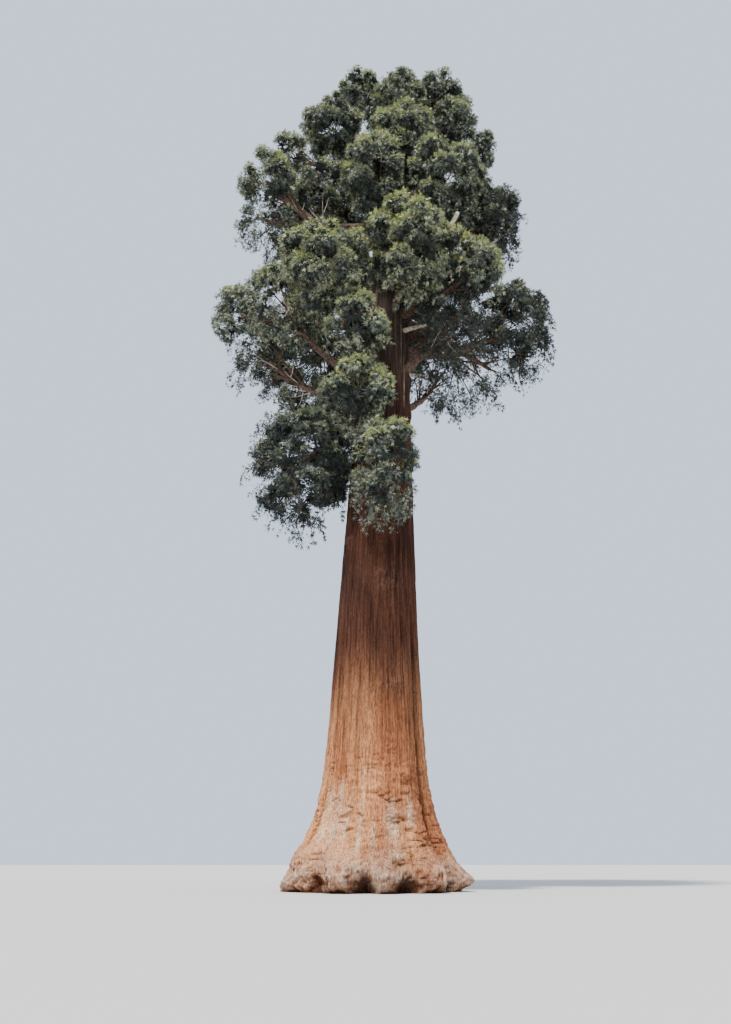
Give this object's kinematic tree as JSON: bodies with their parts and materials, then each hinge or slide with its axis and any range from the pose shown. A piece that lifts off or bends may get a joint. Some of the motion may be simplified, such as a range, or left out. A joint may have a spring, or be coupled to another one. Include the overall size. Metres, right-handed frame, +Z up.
{
  "type": "giant sequoia tree",
  "caption": "Old giant sequoia with a flared, fluted red trunk that runs to its tip, tapering main boughs, a bare dead limb and rounded masses of drooping evergreen foliage.",
  "frame": {"origin": "middle of the flat cut under the trunk, at ground level", "axes": "+Z up the trunk; the front of the tree, as first seen, is its -Y side; +X to the right of that view"},
  "size_m": [14.5917, 11.1146, 39.8594],
  "materials": {
    "bark": "deep red-brown fibrous bark, furrowed lengthways, tan with pale streaks and grey burls at the foot",
    "limb_bark": "rough brown bark of the boughs and twigs",
    "dead_wood": "bare weathered grey wood",
    "foliage": "matt scale-like evergreen sprays, blue-green in the crown and yellow-green at the sunlit tips"
  },
  "bodies": {
    "root": {"trunk": "bark", "dead_limb": "dead_wood", "bough_upper_right": "limb_bark", "bough_right_spur": "limb_bark", "bough_upper_left": "limb_bark", "bough_left_shoulder": "limb_bark", "bough_left_arm": "limb_bark", "bough_left_elbow": "limb_bark", "bough_inner_left": "limb_bark", "bough_right_shoulder": "limb_bark", "bough_front_centre": "limb_bark", "bough_front_left": "limb_bark", "bough_left_mid": "limb_bark", "bough_left_far": "limb_bark", "bough_left_low": "limb_bark", "bough_right_front": "limb_bark", "bough_right_mid": "limb_bark", "bough_right_far": "limb_bark", "bough_right_low": "limb_bark", "bough_right_under": "limb_bark", "bough_back_left": "limb_bark", "bough_back_right": "limb_bark", "bough_back_middle": "limb_bark", "bough_back_low_left": "limb_bark", "bough_back_low_right": "limb_bark", "foliage_top_leader": "foliage", "foliage_top_middle": "foliage", "foliage_top_right": "foliage", "foliage_upper_right": "foliage", "foliage_right_spur": "foliage", "foliage_upper_left": "foliage", "foliage_upper_middle": "foliage", "foliage_upper_front": "foliage", "foliage_left_shoulder": "foliage", "foliage_left_arm": "foliage", "foliage_left_elbow": "foliage", "foliage_inner_left": "foliage", "foliage_right_crown": "foliage", "foliage_right_shoulder": "foliage", "foliage_front_centre": "foliage", "foliage_front_left": "foliage", "foliage_left_mid": "foliage", "foliage_left_far": "foliage", "foliage_left_low": "foliage", "foliage_right_front": "foliage", "foliage_right_mid": "foliage", "foliage_right_far": "foliage", "foliage_right_low": "foliage", "foliage_right_under": "foliage", "foliage_centre_low": "foliage", "foliage_low_front_left": "foliage", "foliage_low_left": "foliage", "foliage_low_front": "foliage", "foliage_back_upper": "foliage", "foliage_back_left": "foliage", "foliage_back_right": "foliage", "foliage_back_middle": "foliage", "foliage_back_low_left": "foliage", "foliage_back_low_right": "foliage", "foliage_back_low": "foliage"}
  },
  "joints": []
}
